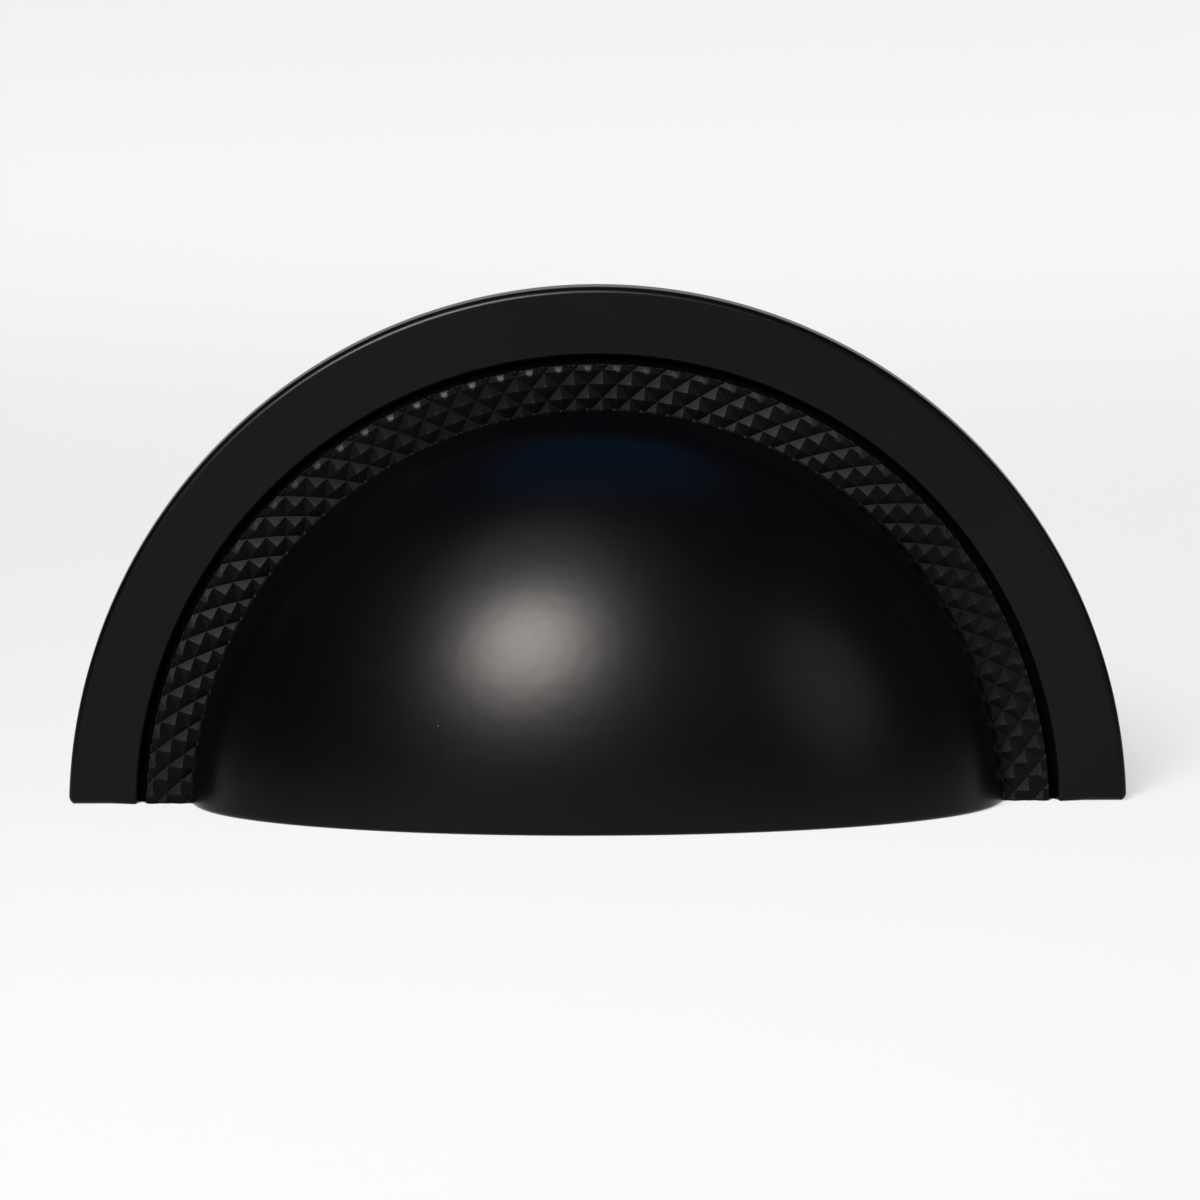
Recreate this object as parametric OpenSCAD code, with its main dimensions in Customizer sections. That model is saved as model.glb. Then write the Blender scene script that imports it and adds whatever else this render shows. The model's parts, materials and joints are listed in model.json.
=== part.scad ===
// Half-moon cup pull: one casting, with a knurled band between the flange and a hollow cup.
// The back face lies in the plane y = 0, the cup bulges toward -y and z is up.
// The origin is midway between the two screw holes, on the back face. Sizes are in millimetres.

/* [Plate] */
// Diameter of the plate's arc
width = 96; // [95:1:110]
// Height of the straight lower edge above the middle of the arc
cut_rise = 1; // [0.5:0.1:3]
// Thickness of the plate
plate_t = 3; // [2.6:0.1:4]
// Rounding of the plate's front rim
rim_r = 0.6; // [0.3:0.1:1]
// Rounding of the plate's two lower corners
corner_r = 0.8; // [0.5:0.1:1.5]

/* [Knurled band] */
// Width of the plain flange outside the band
flange_w = 6.2; // [4:0.1:7]
// Width of the groove between the flange and the knurl
groove_w = 0.8; // [0.5:0.1:1.5]
// Depth of the groove below the flange
groove_depth = 1.5; // [0.8:0.1:1.8]
// Width of the knurl
knurl_w = 4.2; // [3:0.1:5]
// Height of the knurl's points above its roots, with the points level with the flange
knurl_h = 0.45; // [0.3:0.05:0.7]
// Number of points in each row over half a turn
knurl_count = 48; // [24:2:72]
// Distance from one row of points to the next
row_step = 1.27; // [0.9:0.01:1.8]
// Distance from the outermost row of points to the knurl's outer edge
row_inset = 0.55; // [0.2:0.05:0.8]
// Turn of the pattern round the arc, in degrees
knurl_turn = 1; // [0:0.25:3.5]

/* [Cup] */
// Distance from the back face to the front of the cup
projection = 24; // [20:0.5:32]
// Thickness of the cup's wall at its rim
wall = 2.4; // [1.8:0.1:3]

/* [Fixing] */
// Distance between the two screw holes
hole_spacing = 64; // [58:1:66]
// Height of the holes above the straight lower edge
hole_rise = 6; // [5:0.5:8]
// Diameter of the holes, drilled for a 4 mm thread
hole_d = 3.3; // [2.5:0.1:4.2]
// Depth of the holes
hole_depth = 8; // [5:0.5:9]
// Diameter of the bosses round the holes
boss_d = 8; // [7:0.5:9]

/* [Hidden] */
$fn = 96;
// Overrun of cutting shapes, and the small step that keeps blends from being exactly tangent
over = 2;
blend = 0.01;
// Radii of the arc, the flange's inner edge, the knurl's outer edge and the cup's foot
arc_r = width / 2;
groove_r = arc_r - flange_w;
knurl_r = groove_r - groove_w;
cup_r = knurl_r - knurl_w;
hollow_r = cup_r - wall;
// Levels in front of the back face, with the cup widest a little below the front of the plate
floor_y = plate_t - groove_depth;
root_y = plate_t - knurl_h;
cup_y = 0.7 * plate_t;
cup_h = projection - cup_y;
hollow_h = projection - wall;
// Place of a hole from the middle of the arc, and the direction of its boss toward the cup's wall
hole_x = hole_spacing / 2;
hole_up = hole_rise + cut_rise;
boss_turn = atan2(hole_up, hole_x);
boss_flare = 12;
// Place of the circle that rounds a lower corner
corner_up = cut_rise + corner_r;
corner_x = sqrt(pow(arc_r - corner_r, 2) - pow(corner_up, 2));
corner_turn = atan2(corner_up, corner_x);

// The knurl is let into the floor of the groove, and its innermost row into the cup's foot
knurl_sink = 0.4;
row_sink = 0.1;
// Steps of the knurl: half a pitch round the arc, rows from the foot out, and columns past both cut ends
half_pitch = 90 / knurl_count;
last_row = ceil((knurl_w - row_inset + row_sink) / row_step);
columns = 2 * knurl_count;
first = -3;
spans = columns + 5;
half_steps = 2 * spans;
foot_y = floor_y - knurl_sink;
// Where the outer edge cuts the cells beyond the outermost row
edge_share = row_inset / row_step;

function at(turn, r, level) = [r * cos(turn), r * sin(turn), level];
function column_turn(i) = knurl_turn + i * half_pitch;
function row_r(j) = knurl_r - row_inset - (last_row - j) * row_step;

// Points and roots alternate like the squares of a chessboard, and the first and last columns are all roots
function is_point(i, j) = (i + last_row - j) % 2 == 0;
function is_end(i) = i == first || i == first + spans;
function node_level(i, j) = !is_end(i) && is_point(i, j) ? plate_t : root_y;

// Along the outer edge each column has part of a point's height, and between two columns a groove crosses
function edge_part(i) = is_point(i, last_row) ? 1 - edge_share : edge_share;
function edge_turn(k) = let (i = first + floor(k / 2)) column_turn(k % 2 == 0 ? i : i + edge_part(i));
function edge_level(k) = let (i = first + floor(k / 2))
    k % 2 != 0 || is_end(i) ? root_y : root_y + knurl_h * edge_part(i);

// Vertices: the rows of each column, the top and foot of the outer edge, and the foot of the innermost row
row_points = [for (c = [0:spans]) for (j = [0:last_row])
    at(column_turn(first + c), row_r(j), node_level(first + c, j))];
edge_points = [for (k = [0:half_steps]) for (level = [edge_level(k), foot_y])
    at(edge_turn(k), knurl_r, level)];
foot_points = [for (c = [0:spans]) at(column_turn(first + c), row_r(0), foot_y)];
function row_id(c, j) = c * (last_row + 1) + j;
function edge_id(k, side) = len(row_points) + 2 * k + side;
function foot_id(c) = len(row_points) + len(edge_points) + c;
top = 0;
foot = 1;

// Each cell between two columns and two rows folds along the groove that joins its two roots
cell_faces = [for (c = [0:spans - 1]) for (j = [0:last_row - 1]) for (f =
    is_point(first + c, j)
        ? [[row_id(c, j), row_id(c + 1, j), row_id(c, j + 1)],
           [row_id(c + 1, j), row_id(c + 1, j + 1), row_id(c, j + 1)]]
        : [[row_id(c, j), row_id(c + 1, j), row_id(c + 1, j + 1)],
           [row_id(c, j), row_id(c + 1, j + 1), row_id(c, j + 1)]]) f];
outer_faces = [for (c = [0:spans - 1]) for (f = [
    [row_id(c, last_row), row_id(c + 1, last_row), edge_id(2 * c + 1, top)],
    [row_id(c, last_row), edge_id(2 * c + 1, top), edge_id(2 * c, top)],
    [row_id(c + 1, last_row), edge_id(2 * c + 2, top), edge_id(2 * c + 1, top)]]) f];
outer_wall = [for (k = [0:half_steps - 1])
    [edge_id(k, top), edge_id(k + 1, top), edge_id(k + 1, foot), edge_id(k, foot)]];
inner_wall = [for (c = [0:spans - 1]) [row_id(c + 1, 0), row_id(c, 0), foot_id(c), foot_id(c + 1)]];
under_faces = [for (c = [0:spans - 1])
    [edge_id(2 * c, foot), edge_id(2 * c + 1, foot), edge_id(2 * c + 2, foot), foot_id(c + 1), foot_id(c)]];
function end_face(c) = concat([foot_id(c)], [for (j = [0:last_row]) row_id(c, j)],
    [edge_id(2 * c, top), edge_id(2 * c, foot)]);
function turned(f) = [for (i = [len(f) - 1:-1:0]) f[i]];
end_faces = [end_face(0), turned(end_face(spans))];

// Band of four-sided points, cut by two sets of grooves that cross
module knurl() {
    polyhedron(points = concat(row_points, edge_points, foot_points),
        faces = concat(cell_faces, outer_faces, outer_wall, inner_wall, under_faces, end_faces));
}

// Half section of the plate and the outside of the cup: across is the radius, up is the distance to the front
module outer_section() {
    square([arc_r, floor_y]);
    translate([groove_r, 0])
        difference() {
            square([flange_w, plate_t]);
            translate([flange_w - rim_r, plate_t - rim_r])
                difference() {
                    square(2 * rim_r);
                    circle(r = rim_r + blend);
                }
        }
    intersection() {
        translate([0, cup_y])
            scale([cup_r, cup_h])
                circle(r = 1);
        translate([0, floor_y / 2])
            square([arc_r, projection]);
    }
}

// Half section of the space behind the cup
module hollow_section() {
    intersection() {
        scale([hollow_r, hollow_h])
            circle(r = 1);
        translate([0, -hollow_h])
            square([arc_r, 2 * hollow_h]);
    }
}

// Boss round a screw hole, widening to run into the cup's wall
module boss() {
    linear_extrude(height = projection) {
        circle(d = boss_d);
        polygon([
            [0, -boss_d / 2 + blend],
            [boss_d, -boss_d / 2 - boss_d * tan(boss_flare)],
            [boss_d, boss_d / 2 + boss_d * tan(boss_flare)],
            [0, boss_d / 2 - blend]]);
    }
}

// What is taken off a lower corner of the plate to round it
module corner_cut() {
    translate([0, 0, -over])
        linear_extrude(height = projection + 2 * over)
            translate([corner_x, corner_up])
                difference() {
                    polygon([
                        [0, 0],
                        [over * cos(corner_turn), over * sin(corner_turn)],
                        [over, -over],
                        [0, -over]]);
                    circle(r = corner_r + blend);
                }
}

// The whole casting, drawn face up about the middle of the arc
module casting() {
    difference() {
        union() {
            rotate_extrude(angle = 180)
                outer_section();
            knurl();
        }
        difference() {
            rotate_extrude()
                hollow_section();
            for (side = [0, 1])
                mirror([side, 0, 0])
                    translate([hole_x, hole_up, -over])
                        rotate([0, 0, boss_turn])
                            boss();
        }
        for (side = [0, 1])
            mirror([side, 0, 0]) {
                translate([hole_x, hole_up, -over])
                    cylinder(d = hole_d, h = hole_depth + over);
                corner_cut();
            }
        translate([-width, -width, -over])
            cube([2 * width, width + cut_rise, projection + 2 * over]);
    }
}

module cup_pull() {
    color([0.03, 0.03, 0.033])
        translate([0, 0, -hole_up])
            rotate([90, 0, 0])
                casting();
}

cup_pull();
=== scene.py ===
"""Half-moon cup pull in satin black: one casting with a flange, a knurled band and a hollow cup."""

import json

import bmesh
import bpy
import numpy as np
from mathutils import Matrix, Vector


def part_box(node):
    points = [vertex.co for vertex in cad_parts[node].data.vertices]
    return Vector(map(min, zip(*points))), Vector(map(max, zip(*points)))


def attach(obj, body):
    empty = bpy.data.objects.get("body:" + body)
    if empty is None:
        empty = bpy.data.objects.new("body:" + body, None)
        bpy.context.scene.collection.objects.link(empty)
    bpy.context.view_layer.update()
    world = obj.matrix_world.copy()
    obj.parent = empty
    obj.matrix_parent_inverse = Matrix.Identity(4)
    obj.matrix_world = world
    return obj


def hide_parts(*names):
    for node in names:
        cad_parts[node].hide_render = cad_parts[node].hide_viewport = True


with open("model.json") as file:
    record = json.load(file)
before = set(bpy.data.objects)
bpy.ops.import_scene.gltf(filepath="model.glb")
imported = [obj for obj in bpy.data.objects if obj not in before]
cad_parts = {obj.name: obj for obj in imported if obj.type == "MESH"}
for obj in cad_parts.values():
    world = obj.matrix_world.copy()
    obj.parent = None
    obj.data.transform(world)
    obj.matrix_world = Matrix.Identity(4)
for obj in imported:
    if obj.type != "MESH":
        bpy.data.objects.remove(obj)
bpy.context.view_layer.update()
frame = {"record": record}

# Sizes of the casting in metres, as in the part's source
MM = 0.001
ARC_R = 48 * MM
CUT_RISE = 1 * MM
PLATE_T = 3 * MM
RIM_R = 0.6 * MM
FLANGE_W = 6.2 * MM
GROOVE_W = 0.8 * MM
GROOVE_DEPTH = 1.5 * MM
KNURL_W = 4.2 * MM
KNURL_H = 0.45 * MM
KNURL_COUNT = 48
KNURL_TURN = np.radians(1)
ROW_STEP = 1.27 * MM
ROW_INSET = 0.55 * MM
PROJECTION = 24 * MM
WALL = 2.4 * MM
HOLE_DEPTH = 8 * MM
BOSS_R = 4 * MM
BOSS_FLARE = np.radians(12)

# Places that the frame gives: the straight edge, the screw holes and the middle of the arc
screw_holes = next(m for m in frame["record"]["mounts"] if m["name"] == "fixing_holes")["dims"]
EDGE_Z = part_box("cup_pull")[0][2]
HOLE_X = screw_holes["spacing_x_mm"] * MM / 2
HOLE_R = screw_holes["hole_r_mm"] * MM
HOLE_UP = CUT_RISE - EDGE_Z
CENTRE_Z = -HOLE_UP

# Radii and levels that follow from the sizes
GROOVE_R = ARC_R - FLANGE_W
KNURL_R = GROOVE_R - GROOVE_W
CUP_R = KNURL_R - KNURL_W
HOLLOW_R = CUP_R - WALL
FLOOR_D = PLATE_T - GROOVE_DEPTH
ROOT_D = PLATE_T - KNURL_H
CUP_D = 0.7 * PLATE_T
CUP_H = PROJECTION - CUP_D
HOLLOW_H = PROJECTION - WALL
HALF_PITCH = np.pi / (2 * KNURL_COUNT)
OUTER_ROW_R = KNURL_R - ROW_INSET

# Soft edges under the paint: the cup's lip, the plate's cut, the cut through knurl and groove, the back rim,
# the mouth of the hollow, the knurl's outer edge, the flange's inner edge, and the fillet at the bosses
LIP_R = 0.4 * MM
PLATE_EDGE_R = 0.72 * MM
FINE_EDGE_R = 0.12 * MM
BACK_EDGE_R = 0.2 * MM
MOUTH_EDGE_R = 0.25 * MM
KNURL_EDGE_R = 0.08 * MM
FLANGE_EDGE_R = 0.3 * MM
BOSS_FILLET = 1.2 * MM

# The knurl under paint: its height, the power of the curve from a ridge down to a groove, and for the worn
# outermost tips the radius that rounds them, where that starts and how far below the tips
PAINTED_H = 0.43 * MM
RIDGE_POWER = 1.15
KNURL_ROUND_R = 1.6 * MM
ROUND_START_R = OUTER_ROW_R - 0.33 * MM
ROUND_DROP = 0.05 * MM
# Height over which the groove narrows to a point
GROOVE_POINT_H = 0.9 * MM
# Values of the crest attribute, which is 0 away from the knurl
ROOT_CREST = 0.5
TIP_CREST = 0.9
WORN_CREST = 1.0

# Columns of the mesh over half a pitch, then round the arc in the knurl, in the hollow and elsewhere
CELL = 12
FINE = 2 * CELL * KNURL_COUNT
MIDDLE = FINE // 3
COARSE = FINE // 6
# Columns within this angle of the cut ends are squeezed to start at the cut
END_SPAN = 4 * HALF_PITCH
# What brings the columns of the mesh onto the points of the knurl
COLUMN_SHIFT = KNURL_TURN % (HALF_PITCH / CELL)
# Angles of a small rounding, and the steps of the rounding at the cut ends
QUARTER = np.linspace(0, np.pi / 2, 5)
CUT_STEPS = 6
# Points closer than this are one
SAME = 1e-7
# Edges sharper than this stay sharp in the shading
SHARP = np.radians(30)

# Share of its own white that the paper shows
PAPER_GLOW = 0.6
# The point that lamps shine on, inside the cup
LAMP_AIM = (0.0, -0.012, 0.012)


class Skin:
    """Rows of points from the front of the cup round the rim to the back of the hollow, which become one
    closed mesh. A point is (across, up from the middle of the arc, forward of the back face)."""

    def __init__(self):
        self.rows = []
        self.edges = []
        self.corners = []
        self.crests = []
        self.open_after = set()
        self.folded = set()

    def add(self, points, edge, corner=None, crest=0.0):
        """One row, the rounding of its two cut ends, the point that rounding ends at if it isn't on the
        row's own normal, and the row's crest."""
        self.rows.append(points)
        self.edges.append(edge)
        self.corners.append(corner)
        self.crests.append(np.broadcast_to(crest, len(points)))


def column_turns(n, radius, trim):
    """Angles of n + 1 columns on a circle that is cut at the height trim. Up to half the cup's radius they
    are even between the cut ends. From there to the cup's foot they fall in with the knurl, whose columns
    are even over the half turn but for the ends."""
    start = np.arcsin(min(trim / radius, 1.0))
    share = np.linspace(0, 1, n + 1)
    even = start + (np.pi - 2 * start) * share
    plain = np.pi * share + COLUMN_SHIFT
    lattice = np.interp(plain, [COLUMN_SHIFT, END_SPAN, np.pi - END_SPAN, np.pi + COLUMN_SHIFT],
                        [start, END_SPAN, np.pi - END_SPAN, np.pi - start])
    weight = np.clip((radius - CUP_R / 2) / (CUP_R / 2), 0, 1)
    return (1 - weight) * even + weight * lattice


def arc_points(turn, radius, depth):
    """Points at those angles and radii about the arc's axis, at that depth."""
    return np.stack([radius * np.cos(turn), radius * np.sin(turn), np.broadcast_to(depth, len(turn))], 1)


def ring(n, radius, depth, edge):
    """A row of n + 1 points: the arc of that radius at that depth, above the cut and its rounding."""
    return arc_points(column_turns(n, radius, CUT_RISE + edge), radius, depth)


def above_groove(ridges):
    """Height over parallel grooves whose ridges lie at whole numbers: 1, less a power of the distance from
    the nearest ridge. It falls slowly at first, because paint rounds the ridge."""
    return 1 - (2 * np.abs(ridges - np.round(ridges))) ** RIDGE_POWER


def knurl_share(turn, radius):
    """Height of the knurl from root to tip, 0 to 1, and where it is worn round. Two sets of grooves cross,
    and the lower of the two heights counts. A circle rounds the outer edge over, which takes the outermost
    tips off."""
    across = (turn - KNURL_TURN) / HALF_PITCH
    row = (radius - OUTER_ROW_R) / ROW_STEP
    points = np.minimum(above_groove((across + row) / 2), above_groove((across - row) / 2))
    past = np.maximum(radius - ROUND_START_R, 0)
    drop = ROUND_DROP + KNURL_ROUND_R - np.sqrt(KNURL_ROUND_R ** 2 - past ** 2)
    rounded = 1 - drop / PAINTED_H
    worn = (past > 0) & (rounded < points)
    return np.where(worn, np.clip(rounded, 0, 1), points), worn


def knurl_depth(share):
    """Depth of the knurl's surface at that share of its height."""
    return ROOT_D + PAINTED_H * share


def knurl_ring(radius, lift=0.0, inset=0.0):
    """A row over the knurl, with the depth from the knurl's height at each angle, and its crest. The row may
    lie a lift higher than the knurl, and inset from the radius where the height is taken."""
    turn = column_turns(FINE, radius, CUT_RISE + FINE_EDGE_R)
    share, worn = knurl_share(turn, radius)
    points = arc_points(turn, radius - inset, knurl_depth(share) + lift)
    return points, np.where(worn, WORN_CREST, ROOT_CREST + (TIP_CREST - ROOT_CREST) * share)


def even_steps(curve, spacing):
    """Values of a curve's parameter that leave even steps along it, no longer than the spacing. The curve
    gives points for parameters from 0 to 1."""
    t = np.linspace(0, 1, 2001)
    length = np.concatenate([[0], np.cumsum(np.linalg.norm(np.diff(curve(t), axis=0), axis=1))])
    count = int(np.ceil(length[-1] / spacing))
    return np.interp(np.linspace(0, length[-1], count + 1), length, t)


def columns_for(radius):
    """Fewer columns toward a pole, halving as the circle gets smaller."""
    steps = np.array([3.0, 6.0, 12.0, 20.0, 28.0]) * MM
    fewest = 12
    halvings = int(np.sum(radius < steps))
    return max(COARSE >> halvings, fewest)


def cup_rows(skin):
    """Outside of the cup: a quarter ellipse from the front to just above the plate, turned about the arc's
    axis and cut off. Its rounding at the cut narrows toward the plate."""
    spacing = 0.7 * MM
    foot_gap = 0.15 * MM
    narrowing = 2 * MM
    start = np.arccos((CUT_RISE + LIP_R) / CUP_R)
    stop = np.arcsin((PLATE_T + foot_gap - CUP_D) / CUP_H)

    def section(t):
        phi = start + (stop - start) * t
        return np.stack([CUP_R * np.cos(phi), CUP_D + CUP_H * np.sin(phi)], 1)

    profile = section(even_steps(section, spacing))
    skin.add(np.array([[0, CUT_RISE + LIP_R, profile[0, 1]]]), LIP_R)
    for radius, depth in profile[1:]:
        edge = np.interp(depth, [PLATE_T, PLATE_T + narrowing], [FINE_EDGE_R, LIP_R])
        skin.add(ring(columns_for(radius), radius, depth, edge), edge)


def band_rows(skin):
    """Knurl from the cup's foot to the groove, with a quarter circle over its outer edge, then the groove's
    two walls, which lean together below and meet in a point."""
    foot_out = 0.06 * MM
    foot_lift = 0.12 * MM
    foot_inset = 0.08 * MM
    first_gap = 0.1 * MM
    groove_steps = 6
    foot, _ = knurl_ring(CUP_R + foot_out, foot_lift, foot_inset)
    skin.add(foot, FINE_EDGE_R)
    step = ROW_STEP / CELL
    inward = int((OUTER_ROW_R - CUP_R - first_gap) / step)
    outward = int((ROW_INSET - KNURL_EDGE_R) / step)
    for radius in OUTER_ROW_R + step * np.arange(-inward, outward + 1):
        points, crest = knurl_ring(radius)
        skin.folded.add(len(skin.rows))
        skin.add(points, FINE_EDGE_R, crest=crest)
    for turn in QUARTER:
        back = KNURL_EDGE_R * (1 - np.sin(turn))
        drop = KNURL_EDGE_R * (1 - np.cos(turn))
        points, crest = knurl_ring(KNURL_R - back, -drop)
        skin.add(points, FINE_EDGE_R, crest=crest)
    skin.add(ring(FINE, KNURL_R, FLOOR_D + GROOVE_POINT_H, FINE_EDGE_R), FINE_EDGE_R)
    for share in np.linspace(0, 1, groove_steps + 1)[1:]:
        depth = FLOOR_D + GROOVE_POINT_H * abs(2 * share - 1)
        skin.add(ring(COARSE, KNURL_R + GROOVE_W * share, depth, FINE_EDGE_R), FINE_EDGE_R)


def plate_rows(skin):
    """Flange: a quarter circle over the groove's edge, the flat face, a quarter circle round the rim, the
    straight side and a small quarter circle onto the back face."""
    flat_shares = (0.01, 0.12, 0.25, 0.4, 0.55, 0.7, 0.85, 0.99)
    side_depths = (PLATE_T - RIM_R - 0.05 * MM, 1.6 * MM, 1.0 * MM, PLATE_EDGE_R)
    wide_share = 0.4
    for turn in QUARTER:
        radius = GROOVE_R + FLANGE_EDGE_R * (1 - np.cos(turn))
        depth = PLATE_T - FLANGE_EDGE_R * (1 - np.sin(turn))
        skin.add(ring(COARSE, radius, depth, FINE_EDGE_R), FINE_EDGE_R)
    inner = GROOVE_R + FLANGE_EDGE_R
    outer = ARC_R - RIM_R
    for share in flat_shares:
        edge = np.interp(share, [0, wide_share], [FINE_EDGE_R, PLATE_EDGE_R])
        skin.add(ring(COARSE, inner + (outer - inner) * share, PLATE_T, edge), edge)
    for turn in np.linspace(np.pi / 2, 0, 9):
        radius = outer + RIM_R * np.cos(turn)
        depth = PLATE_T - RIM_R * (1 - np.sin(turn))
        skin.add(ring(COARSE, radius, depth, PLATE_EDGE_R), PLATE_EDGE_R, (outer, PLATE_T - RIM_R))
    for depth in side_depths:
        skin.add(ring(COARSE, ARC_R, depth, PLATE_EDGE_R), PLATE_EDGE_R, (outer, depth))
    for turn in QUARTER:
        radius = ARC_R - BACK_EDGE_R * (1 - np.cos(turn))
        depth = BACK_EDGE_R * (1 - np.sin(turn))
        skin.add(ring(COARSE, radius, depth, PLATE_EDGE_R), PLATE_EDGE_R, (outer, PLATE_EDGE_R))
    skin.open_after.add(len(skin.rows) - 1)


def boss_gap(across, up):
    """Distance outside the nearer boss in the plane of the back: from the boss's circle on the side of the
    hollow, and from its two sides, which spread toward the cup's wall, on the other side."""
    tilt = np.arctan2(HOLE_UP, HOLE_X)
    x = np.abs(across) - HOLE_X
    z = up - HOLE_UP
    along = x * np.cos(tilt) + z * np.sin(tilt)
    beside = np.abs(z * np.cos(tilt) - x * np.sin(tilt))
    from_sides = (beside - BOSS_R - along * np.tan(BOSS_FLARE)) * np.cos(BOSS_FLARE)
    from_circle = np.hypot(along, beside) - BOSS_R
    return np.where(along > 0, from_sides, from_circle)


def hollow_reach(turn, radius):
    """Distance from the arc's axis to the wall of the hollow at those angles, at the depth where the plain
    hollow has that radius: the circle, less the bosses, with a fillet between. It is found by halving the
    span again and again."""
    halvings = 40
    near = np.zeros_like(turn)
    far = np.full_like(turn, radius + BOSS_FILLET)
    for _ in range(halvings):
        half = (near + far) / 2
        wall = half - radius
        boss = -boss_gap(half * np.cos(turn), half * np.sin(turn))
        outside = (wall + boss + np.hypot(wall - boss, BOSS_FILLET / 2)) / 2
        near, far = np.where(outside < 0, half, near), np.where(outside < 0, far, half)
    return near


def hollow_ring(n, radius, depth, widen=0.0):
    """A row of the hollow at one depth: the reach of the hollow, widened for the rounding of its mouth, and
    brought to the plain radius at the two cut ends."""
    end_span = 0.05
    start = np.arcsin(min((CUT_RISE + LIP_R) / radius, 1.0))
    turn = start + (np.pi - 2 * start) * np.linspace(0, 1, n + 1)
    reach = hollow_reach(turn, radius)
    free = hollow_reach(np.array([start]), radius)[0]
    shift = np.interp(np.minimum(turn, np.pi - turn), [start, start + end_span], [radius - free, 0])
    return arc_points(turn, reach + widen + shift, depth)


def hollow_rows(skin):
    """Inside of the cup: a quarter circle round its mouth, then a quarter ellipse from the back face to its
    deepest point, with the two bosses let in."""
    spacing = 0.9 * MM
    first_gap = 0.1 * MM
    corner = (HOLLOW_R + LIP_R, PLATE_EDGE_R)
    for turn in QUARTER:
        depth = MOUTH_EDGE_R * (1 - np.cos(turn))
        widen = MOUTH_EDGE_R * (1 - np.sin(turn))
        radius = HOLLOW_R * np.sqrt(1 - (depth / HOLLOW_H) ** 2)
        skin.add(hollow_ring(MIDDLE, radius, depth, widen), LIP_R, corner)
    start = np.arcsin((MOUTH_EDGE_R + first_gap) / HOLLOW_H)
    stop = np.arccos((CUT_RISE + LIP_R) / HOLLOW_R)

    def section(t):
        phi = start + (stop - start) * t
        return np.stack([HOLLOW_R * np.cos(phi), HOLLOW_H * np.sin(phi)], 1)

    profile = section(even_steps(section, spacing))
    for radius, depth in profile[:-1]:
        n = columns_for(radius)
        if n == COARSE:
            n = MIDDLE
        skin.add(hollow_ring(n, radius, depth), LIP_R, corner if depth < PLATE_EDGE_R else None)
    skin.add(np.array([[0, CUT_RISE + LIP_R, profile[-1, 1]]]), LIP_R)


def folded_squares(near, far, near_head, far_head):
    """Faces between two rows of the knurl: each square is two triangles, folded along the diagonal whose
    middle lies nearer to the knurl's height there."""
    middle = (near[:-1] + near[1:] + far[:-1] + far[1:]) / 4
    share, _ = knurl_share(np.arctan2(middle[:, 1], middle[:, 0]), np.hypot(middle[:, 0], middle[:, 1]))
    level = knurl_depth(share)
    rising = np.abs((near[:-1] + far[1:])[:, 2] / 2 - level)
    falling = np.abs((near[1:] + far[:-1])[:, 2] / 2 - level)
    up = rising < falling
    a = near_head + np.arange(len(near) - 1)
    b = far_head + np.arange(len(near) - 1)
    return [np.stack([a, b + 1, b], 1)[up], np.stack([a, a + 1, b + 1], 1)[up],
            np.stack([a, a + 1, b], 1)[~up], np.stack([a + 1, b + 1, b], 1)[~up]]


def fans(few, few_head, many, many_head):
    """Faces between a row of few edges and a row of as many or several times as many: on each edge of the
    first a fan of its share of the others, which is a square where the two match. A row of one point is a
    pole, with a triangle to each edge."""
    if few == 0:
        j = np.arange(many)
        return np.stack([np.full(many, few_head), many_head + j, many_head + j + 1], 1)
    fold = many // few
    j = np.arange(few)
    fan = [many_head + fold * j + k for k in range(fold + 1)]
    return np.stack([few_head + j, *fan, few_head + j + 1], 1)


def strips(skin, heads):
    """Faces between neighbouring rows, whose first points have the numbers in heads. The back face, between
    the rim and the mouth of the hollow, stays open."""
    faces = []
    for i in range(len(heads) - 1):
        if i in skin.open_after:
            continue
        near = skin.rows[i]
        far = skin.rows[i + 1]
        if i in skin.folded and i + 1 in skin.folded:
            faces += folded_squares(near, far, heads[i], heads[i + 1])
        else:
            few, many = sorted([(len(near) - 1, heads[i]), (len(far) - 1, heads[i + 1])])
            faces.append(fans(*few, *many))
    return faces


def cut_edges(skin, heads, tails, first_free):
    """Rounding of both cut ends: a quarter turn from each row's last point to the cut, about the point that
    lies that rounding's radius inside the casting. Returns the new points and the faces."""
    right = np.array([row[0] for row in skin.rows])[:, [0, 2]]
    edge = np.array(skin.edges)
    along = np.gradient(right, axis=0)
    along /= np.linalg.norm(along, axis=1, keepdims=True)
    inset = right + edge[:, None] * np.stack([along[:, 1], -along[:, 0]], 1)
    for i, corner in enumerate(skin.corners):
        if corner is not None:
            inset[i] = corner
    inset[[0, -1], 0] = 0
    points = []
    faces = []
    for side, ends in ((1, heads), (-1, tails)):
        before = ends
        for k in range(1, CUT_STEPS + 1):
            turn = k / CUT_STEPS * np.pi / 2
            flat = right + (inset - right) * (1 - np.cos(turn))
            up = CUT_RISE + edge * (1 - np.sin(turn))
            points.append(np.stack([side * flat[:, 0], up, flat[:, 1]], 1))
            after = first_free + np.arange(len(heads))
            first_free += len(heads)
            faces.append(np.stack([before[:-1], before[1:], after[1:], after[:-1]], 1))
            before = after
    return points, faces


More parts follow.
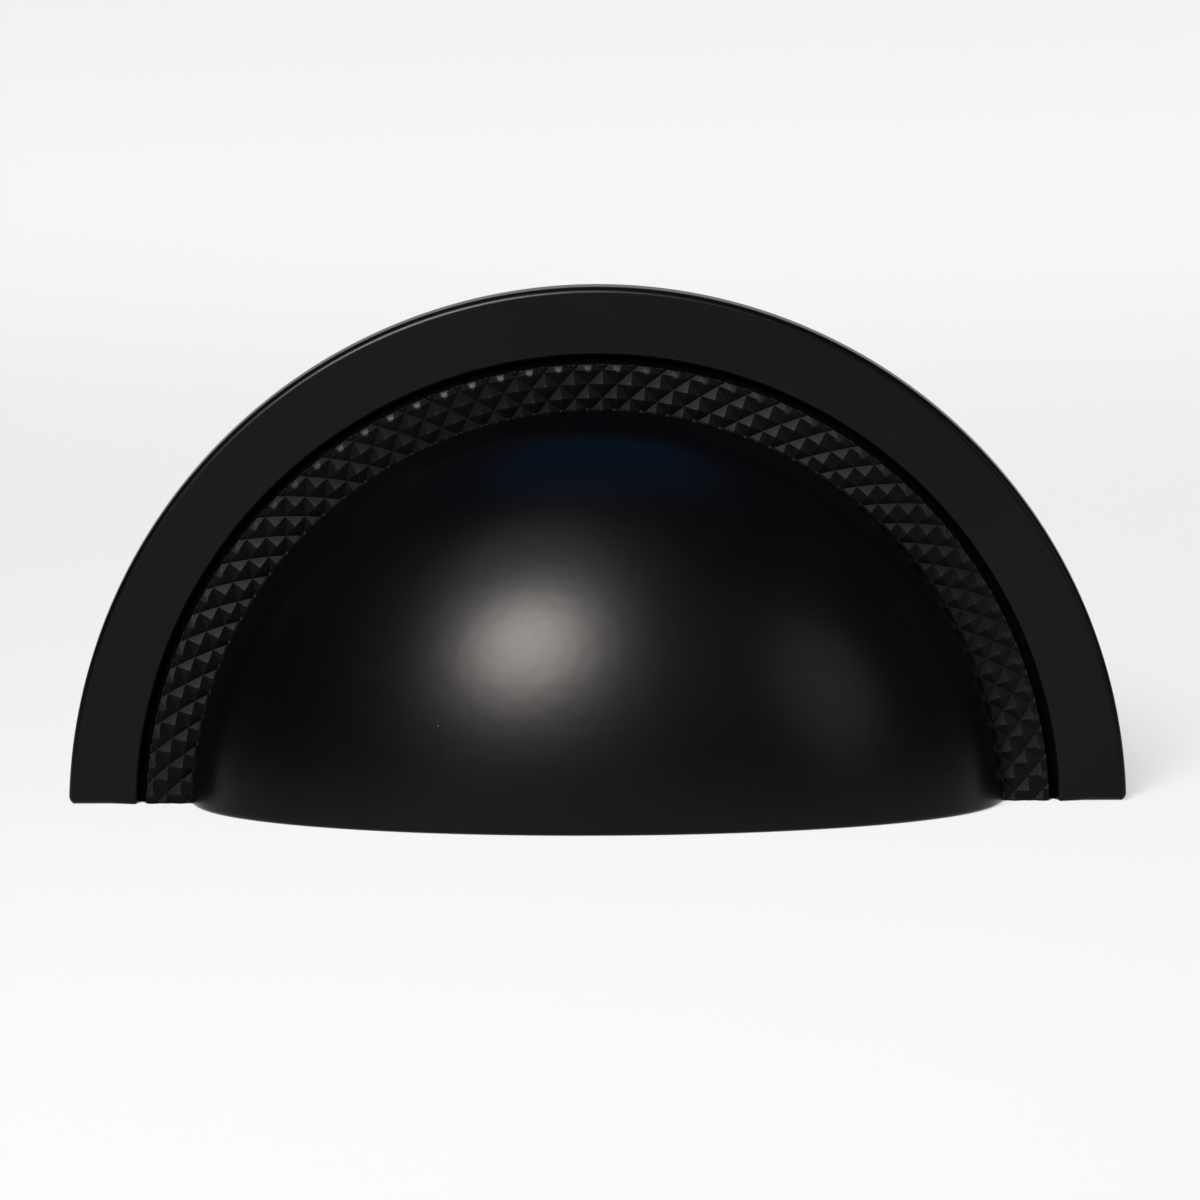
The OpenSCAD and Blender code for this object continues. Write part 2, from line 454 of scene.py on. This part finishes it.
def screw_hole(side, first_free):
    """Blind hole with a 4 mm thread, seen from the back: the wall's distance from the axis at each angle and
    depth is the thread's flank, a wave that climbs one pitch a turn and runs out before the end, or the
    chamfer at the mouth if that is wider. A flat cone closes the end."""
    pitch = 0.7 * MM
    major = 2.0 * MM
    chamfer = 0.2 * MM
    cone = 0.3 * MM
    plain_end = 1.2 * MM
    fade = 0.8 * MM
    crest_flat = 0.15
    flank_width = 0.7
    around = 48
    levels = 100
    depth, turn = np.meshgrid(np.linspace(0, HOLE_DEPTH - cone, levels),
                              np.linspace(0, 2 * np.pi, around, endpoint=False), indexing="ij")
    wave = np.abs((depth / pitch - side * turn / (2 * np.pi)) % 1 - 0.5) * 2
    flank = np.clip((wave - crest_flat) / flank_width, 0, 1)
    runout = np.clip((HOLE_DEPTH - plain_end - depth) / fade, 0, 1)
    wall = np.maximum(HOLE_R + (major - HOLE_R) * flank * runout, major + chamfer - depth)
    across = side * HOLE_X
    grid = np.stack([across + wall * np.cos(turn), HOLE_UP + wall * np.sin(turn), depth], 2)
    points = np.concatenate([grid.reshape(-1, 3), [[across, HOLE_UP, HOLE_DEPTH]]])
    row, column = np.meshgrid(np.arange(levels - 1), np.arange(around), indexing="ij")
    here = first_free + row * around + column
    beside = first_free + row * around + (column + 1) % around
    squares = np.stack([here, beside, beside + around, here + around], 2).reshape(-1, 4)
    middle = np.full(around, first_free + len(points) - 1)
    tip = np.stack([here[-1] + around, beside[-1] + around, middle], 1)
    return points, [squares, tip]


def closed_mesh(place, faces, crest):
    """The mesh of those points and faces, with its doubles merged, and with the flat back face and the flat
    lower face filled in between their outlines."""
    mesh = bpy.data.meshes.new("cup_pull_painted")
    mesh.from_pydata(place.tolist(), [], [face for group in faces for face in group.tolist()])
    mesh.attributes.new("crest", "FLOAT", "POINT").data.foreach_set("value", crest)
    bm = bmesh.new()
    bm.from_mesh(mesh)
    bmesh.ops.remove_doubles(bm, verts=bm.verts, dist=SAME)
    rims = [e for e in bm.edges if e.is_boundary]
    back = [e for e in rims if all(abs(v.co.y) < SAME for v in e.verts)]
    base = [e for e in rims if all(abs(v.co.z - EDGE_Z) < SAME for v in e.verts)]
    for outline, normal in ((back, (0, 1, 0)), (base, (0, 0, -1))):
        bmesh.ops.triangle_fill(bm, use_beauty=True, edges=outline, normal=normal)
    bmesh.ops.recalc_face_normals(bm, faces=bm.faces)
    bm.to_mesh(mesh)
    bm.free()
    mesh.shade_smooth()
    mesh.set_sharp_from_angle(angle=SHARP)
    return mesh


def casting():
    """The whole pull as one closed mesh: the rows' strips, the rounded cut ends, the threaded holes and the
    two flat faces, turned from the arc's own axes to the frame's."""
    skin = Skin()
    cup_rows(skin)
    band_rows(skin)
    plate_rows(skin)
    hollow_rows(skin)
    counts = np.array([len(row) for row in skin.rows])
    heads = np.cumsum(counts) - counts
    faces = strips(skin, heads)
    end_points, end_faces = cut_edges(skin, heads, heads + counts - 1, counts.sum())
    points = skin.rows + end_points
    faces += end_faces
    for side in (-1, 1):
        hole, hole_faces = screw_hole(side, sum(len(p) for p in points))
        points.append(hole)
        faces += hole_faces
    flat = np.concatenate(points)
    place = np.stack([flat[:, 0], -flat[:, 2], flat[:, 1] + CENTRE_Z], 1)
    crest = np.zeros(len(place))
    crest[: counts.sum()] = np.concatenate(skin.crests)
    piece = bpy.data.objects.new("cup_pull_painted", closed_mesh(place, faces, crest))
    bpy.context.scene.collection.objects.link(piece)
    return piece


class Value:
    """A socket that Python sums can use: each operator adds the Math node that it stands for."""

    def __init__(self, recipe, socket):
        self.recipe = recipe
        self.socket = socket

    def math(self, operation, *values):
        return self.recipe.node("ShaderNodeMath", {"operation": operation}, dict(enumerate(values)))

    def __add__(self, other):
        return self.math("ADD", self, other)

    def __sub__(self, other):
        return self.math("SUBTRACT", self, other)

    def __mul__(self, other):
        return self.math("MULTIPLY", self, other)

    def __rsub__(self, other):
        return self.math("SUBTRACT", other, self)

    __radd__ = __add__
    __rmul__ = __mul__

    def above(self, start, full):
        """0 on the near side of start, 1 beyond full, smooth between."""
        return self.recipe.node("ShaderNodeMapRange", {"interpolation_type": "SMOOTHSTEP"},
                                {"Value": self, "From Min": start, "From Max": full})


class Recipe:
    """A material's nodes."""

    def __init__(self, name):
        self.material = bpy.data.materials.new(name)
        self.material.use_nodes = True
        self.tree = self.material.node_tree
        self.tree.nodes.clear()

    def node(self, kind, settings=None, values=None, out=0):
        """A node of that kind with its settings, then its sockets' values or links; gives one output."""
        made = self.tree.nodes.new(kind)
        for name, setting in (settings or {}).items():
            setattr(made, name, setting)
        for name, value in (values or {}).items():
            if isinstance(value, Value):
                self.tree.links.new(value.socket, made.inputs[name])
            else:
                made.inputs[name].default_value = value
        return Value(self, made.outputs[out]) if len(made.outputs) else made

    def sibling(self, value, name):
        """Another output of the node that gave a value."""
        return Value(self, value.socket.node.outputs[name])

    def mix(self, share, first, second):
        """A colour between two colours, which the Mix node takes at its sockets 6 and 7 and gives at 2."""
        return self.node("ShaderNodeMix", {"data_type": "RGBA"}, {0: share, 6: first, 7: second}, 2)


def satin_black():
    """Satin black paint over a casting: a nearly black coat with a fine grain, a shallow orange peel and a
    few nibs of dust. It is duller over the knurl, and thinner and polished on the worn outermost tips."""
    paint = Recipe("satin_black_paint")
    place = paint.node("ShaderNodeTexCoord", out="Object")
    peel = paint.node("ShaderNodeTexNoise", None, {"Vector": place, "Scale": 700.0, "Detail": 2.0})
    grain = paint.node("ShaderNodeTexNoise", None, {"Vector": place, "Scale": 5200.0, "Detail": 2.0})
    cloud = paint.node("ShaderNodeTexNoise", None, {"Vector": place, "Scale": 45.0, "Detail": 3.0})
    nib = paint.node("ShaderNodeTexVoronoi", None, {"Vector": place, "Scale": 200.0}).above(0.026, 0.0)
    crest = paint.node("ShaderNodeAttribute", {"attribute_name": "crest"}, out="Fac")
    knurled = crest.above(0.2, ROOT_CREST)
    worn = crest.above(TIP_CREST, WORN_CREST)
    deep_black = (0.0010, 0.0009, 0.0013, 1)
    black = (0.0016, 0.0015, 0.0021, 1)
    thin_black = (0.008, 0.008, 0.0084, 1)
    coat = paint.mix(cloud.above(0.3, 0.7), deep_black, black)
    colour = paint.mix(worn * 0.6, coat, thin_black)
    roughness = 0.25 + 0.04 * grain + 0.03 * cloud + 0.17 * knurled - 0.1 * worn
    # Heights in metres
    relief = peel * 1e-5 + grain * 0.4e-6 + nib * 1.5e-5
    normal = paint.node("ShaderNodeBump", None, {"Strength": 1.0, "Distance": 1.0, "Height": relief})
    surface = {"Base Color": colour, "Roughness": roughness, "Normal": normal, "IOR": 1.5}
    satin = paint.node("ShaderNodeBsdfPrincipled", None, {**surface, "Specular IOR Level": 0.12})
    dull = paint.node("ShaderNodeBsdfPrincipled", None, {**surface, "Specular IOR Level": 0.07})
    shader = paint.node("ShaderNodeMixShader", None, {0: knurled - 0.4 * worn, 1: satin, 2: dull})
    paint.node("ShaderNodeOutputMaterial", None, {"Surface": shader})
    return paint.material


def pale_paper():
    """Plain pale matt paper. To the camera and in reflections part of it shows white, whatever light it
    gets."""
    paper = Recipe("pale_paper")
    matt = paper.node("ShaderNodeBsdfPrincipled", None,
                      {"Base Color": (0.82, 0.82, 0.82, 1), "Roughness": 0.9, "Specular IOR Level": 0.1})
    glow = paper.node("ShaderNodeEmission", None, {"Color": (1, 1, 1, 1), "Strength": 1.0})
    seen = paper.node("ShaderNodeLightPath", out="Is Camera Ray")
    mirrored = paper.sibling(seen, "Is Glossy Ray")
    through = paper.sibling(seen, "Is Transmission Ray")
    share = (seen + mirrored + through) * PAPER_GLOW
    mixed = paper.node("ShaderNodeMixShader", None, {0: share, 1: matt, 2: glow})
    paper.node("ShaderNodeOutputMaterial", None, {"Surface": mixed})
    return paper.material


def pale_sweep():
    """Floor that curves up into a backdrop: a line along the floor, a quarter circle and a line up, drawn
    out to both sides. It lies a hair below the straight edge."""
    bend = 0.6
    start = 1.6
    half = 4.0
    top = 2.4
    gap = 0.02 * MM
    turn = np.linspace(0, np.pi / 2, 25)
    along = np.concatenate([[-half], start + bend * np.sin(turn), [start + bend]])
    up = np.concatenate([[0], bend * (1 - np.cos(turn)), [top]]) + EDGE_Z - gap
    n = len(along)
    points = np.concatenate([np.stack([np.full(n, side * half), along, up], 1) for side in (-1, 1)])
    i = np.arange(n - 1)
    mesh = bpy.data.meshes.new("sweep")
    mesh.from_pydata(points.tolist(), [], np.stack([i, i + n, i + n + 1, i + 1], 1).tolist())
    mesh.shade_smooth()
    mesh.materials.append(pale_paper())
    sweep = bpy.data.objects.new("sweep", mesh)
    bpy.context.scene.collection.objects.link(sweep)


def softbox(name, towards, distance, size, watts, colour=(1, 1, 1), spread=180, aim=LAMP_AIM):
    """A round lamp that shines on the aim from a direction (across, toward the camera, up) at a distance."""
    lamp = bpy.data.lights.new(name, "AREA")
    lamp.shape = "DISK"
    lamp.size = size
    lamp.energy = watts
    lamp.color = colour
    lamp.spread = np.radians(spread)
    out = Vector((towards[0], -towards[1], towards[2])).normalized()
    turn = out.to_track_quat("Z", "Y").to_matrix().to_4x4()
    holder = bpy.data.objects.new(name, lamp)
    holder.matrix_world = Matrix.Translation(Vector(aim) + out * distance) @ turn
    bpy.context.scene.collection.objects.link(holder)


def studio():
    """Two soft lamps at the upper left in front, whose reflections lie over each other, a weaker one at the
    right, a blue one above, one that shines down on the floor behind the pull, and a dim room."""
    softbox("key", (-0.222, 0.837, 0.490), distance=1.2, size=0.46, watts=1.5,
            colour=(1.0, 0.94, 0.905), spread=40)
    softbox("over", (-0.241, 0.655, 0.716), distance=1.1, size=0.68, watts=2.4)
    softbox("fill", (0.75, 0.6, 0.33), distance=0.9, size=0.42, watts=0.8)
    softbox("top", (0.0, -0.1, 1.0), distance=0.9, size=0.68, watts=0.66, colour=(0.03, 0.42, 1.0))
    softbox("backdrop", (0.0, 0.0, 1.0), distance=0.7, size=0.9, watts=1.5, spread=50, aim=(0.0, 0.8, 0.0))
    world = bpy.data.worlds.new("room")
    world.use_nodes = True
    room = world.node_tree.nodes["Background"]
    room.inputs["Color"].default_value = (0.9, 0.95, 1.0, 1)
    room.inputs["Strength"].default_value = 0.03
    bpy.context.scene.world = world


def camera():
    """Camera a little above the pull, square to it, with the picture's slight tilt. The lens follows from
    the picture's scale at the plate's front, in a frame of 1200 by 1200."""
    reach = 1.08
    above = np.radians(7.22)
    tilt = np.radians(-0.2)
    pixels_per_metre = 11048.0
    frame_pixels = 1200.0
    middle_across = 0.27 * MM
    middle_up = 19.54 * MM
    target = Vector((middle_across, -PLATE_T, CENTRE_Z + middle_up))
    out = Vector((0, -np.cos(above), np.sin(above)))
    eye = bpy.data.cameras.new("eye")
    eye.sensor_fit = "HORIZONTAL"
    eye.sensor_width = 36.0
    eye.lens = eye.sensor_width * pixels_per_metre * reach / frame_pixels
    eye.clip_start = 0.05
    eye.clip_end = 50
    holder = bpy.data.objects.new("eye", eye)
    turn = out.to_track_quat("Z", "Y").to_matrix().to_4x4() @ Matrix.Rotation(tilt, 4, "Z")
    holder.matrix_world = Matrix.Translation(target + out * reach) @ turn
    bpy.context.scene.collection.objects.link(holder)
    bpy.context.scene.camera = holder


pull = casting()
pull.data.materials.append(satin_black())
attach(pull, "root")
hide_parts("cup_pull")
pale_sweep()
studio()
camera()
bpy.context.scene.view_settings.view_transform = "Standard"
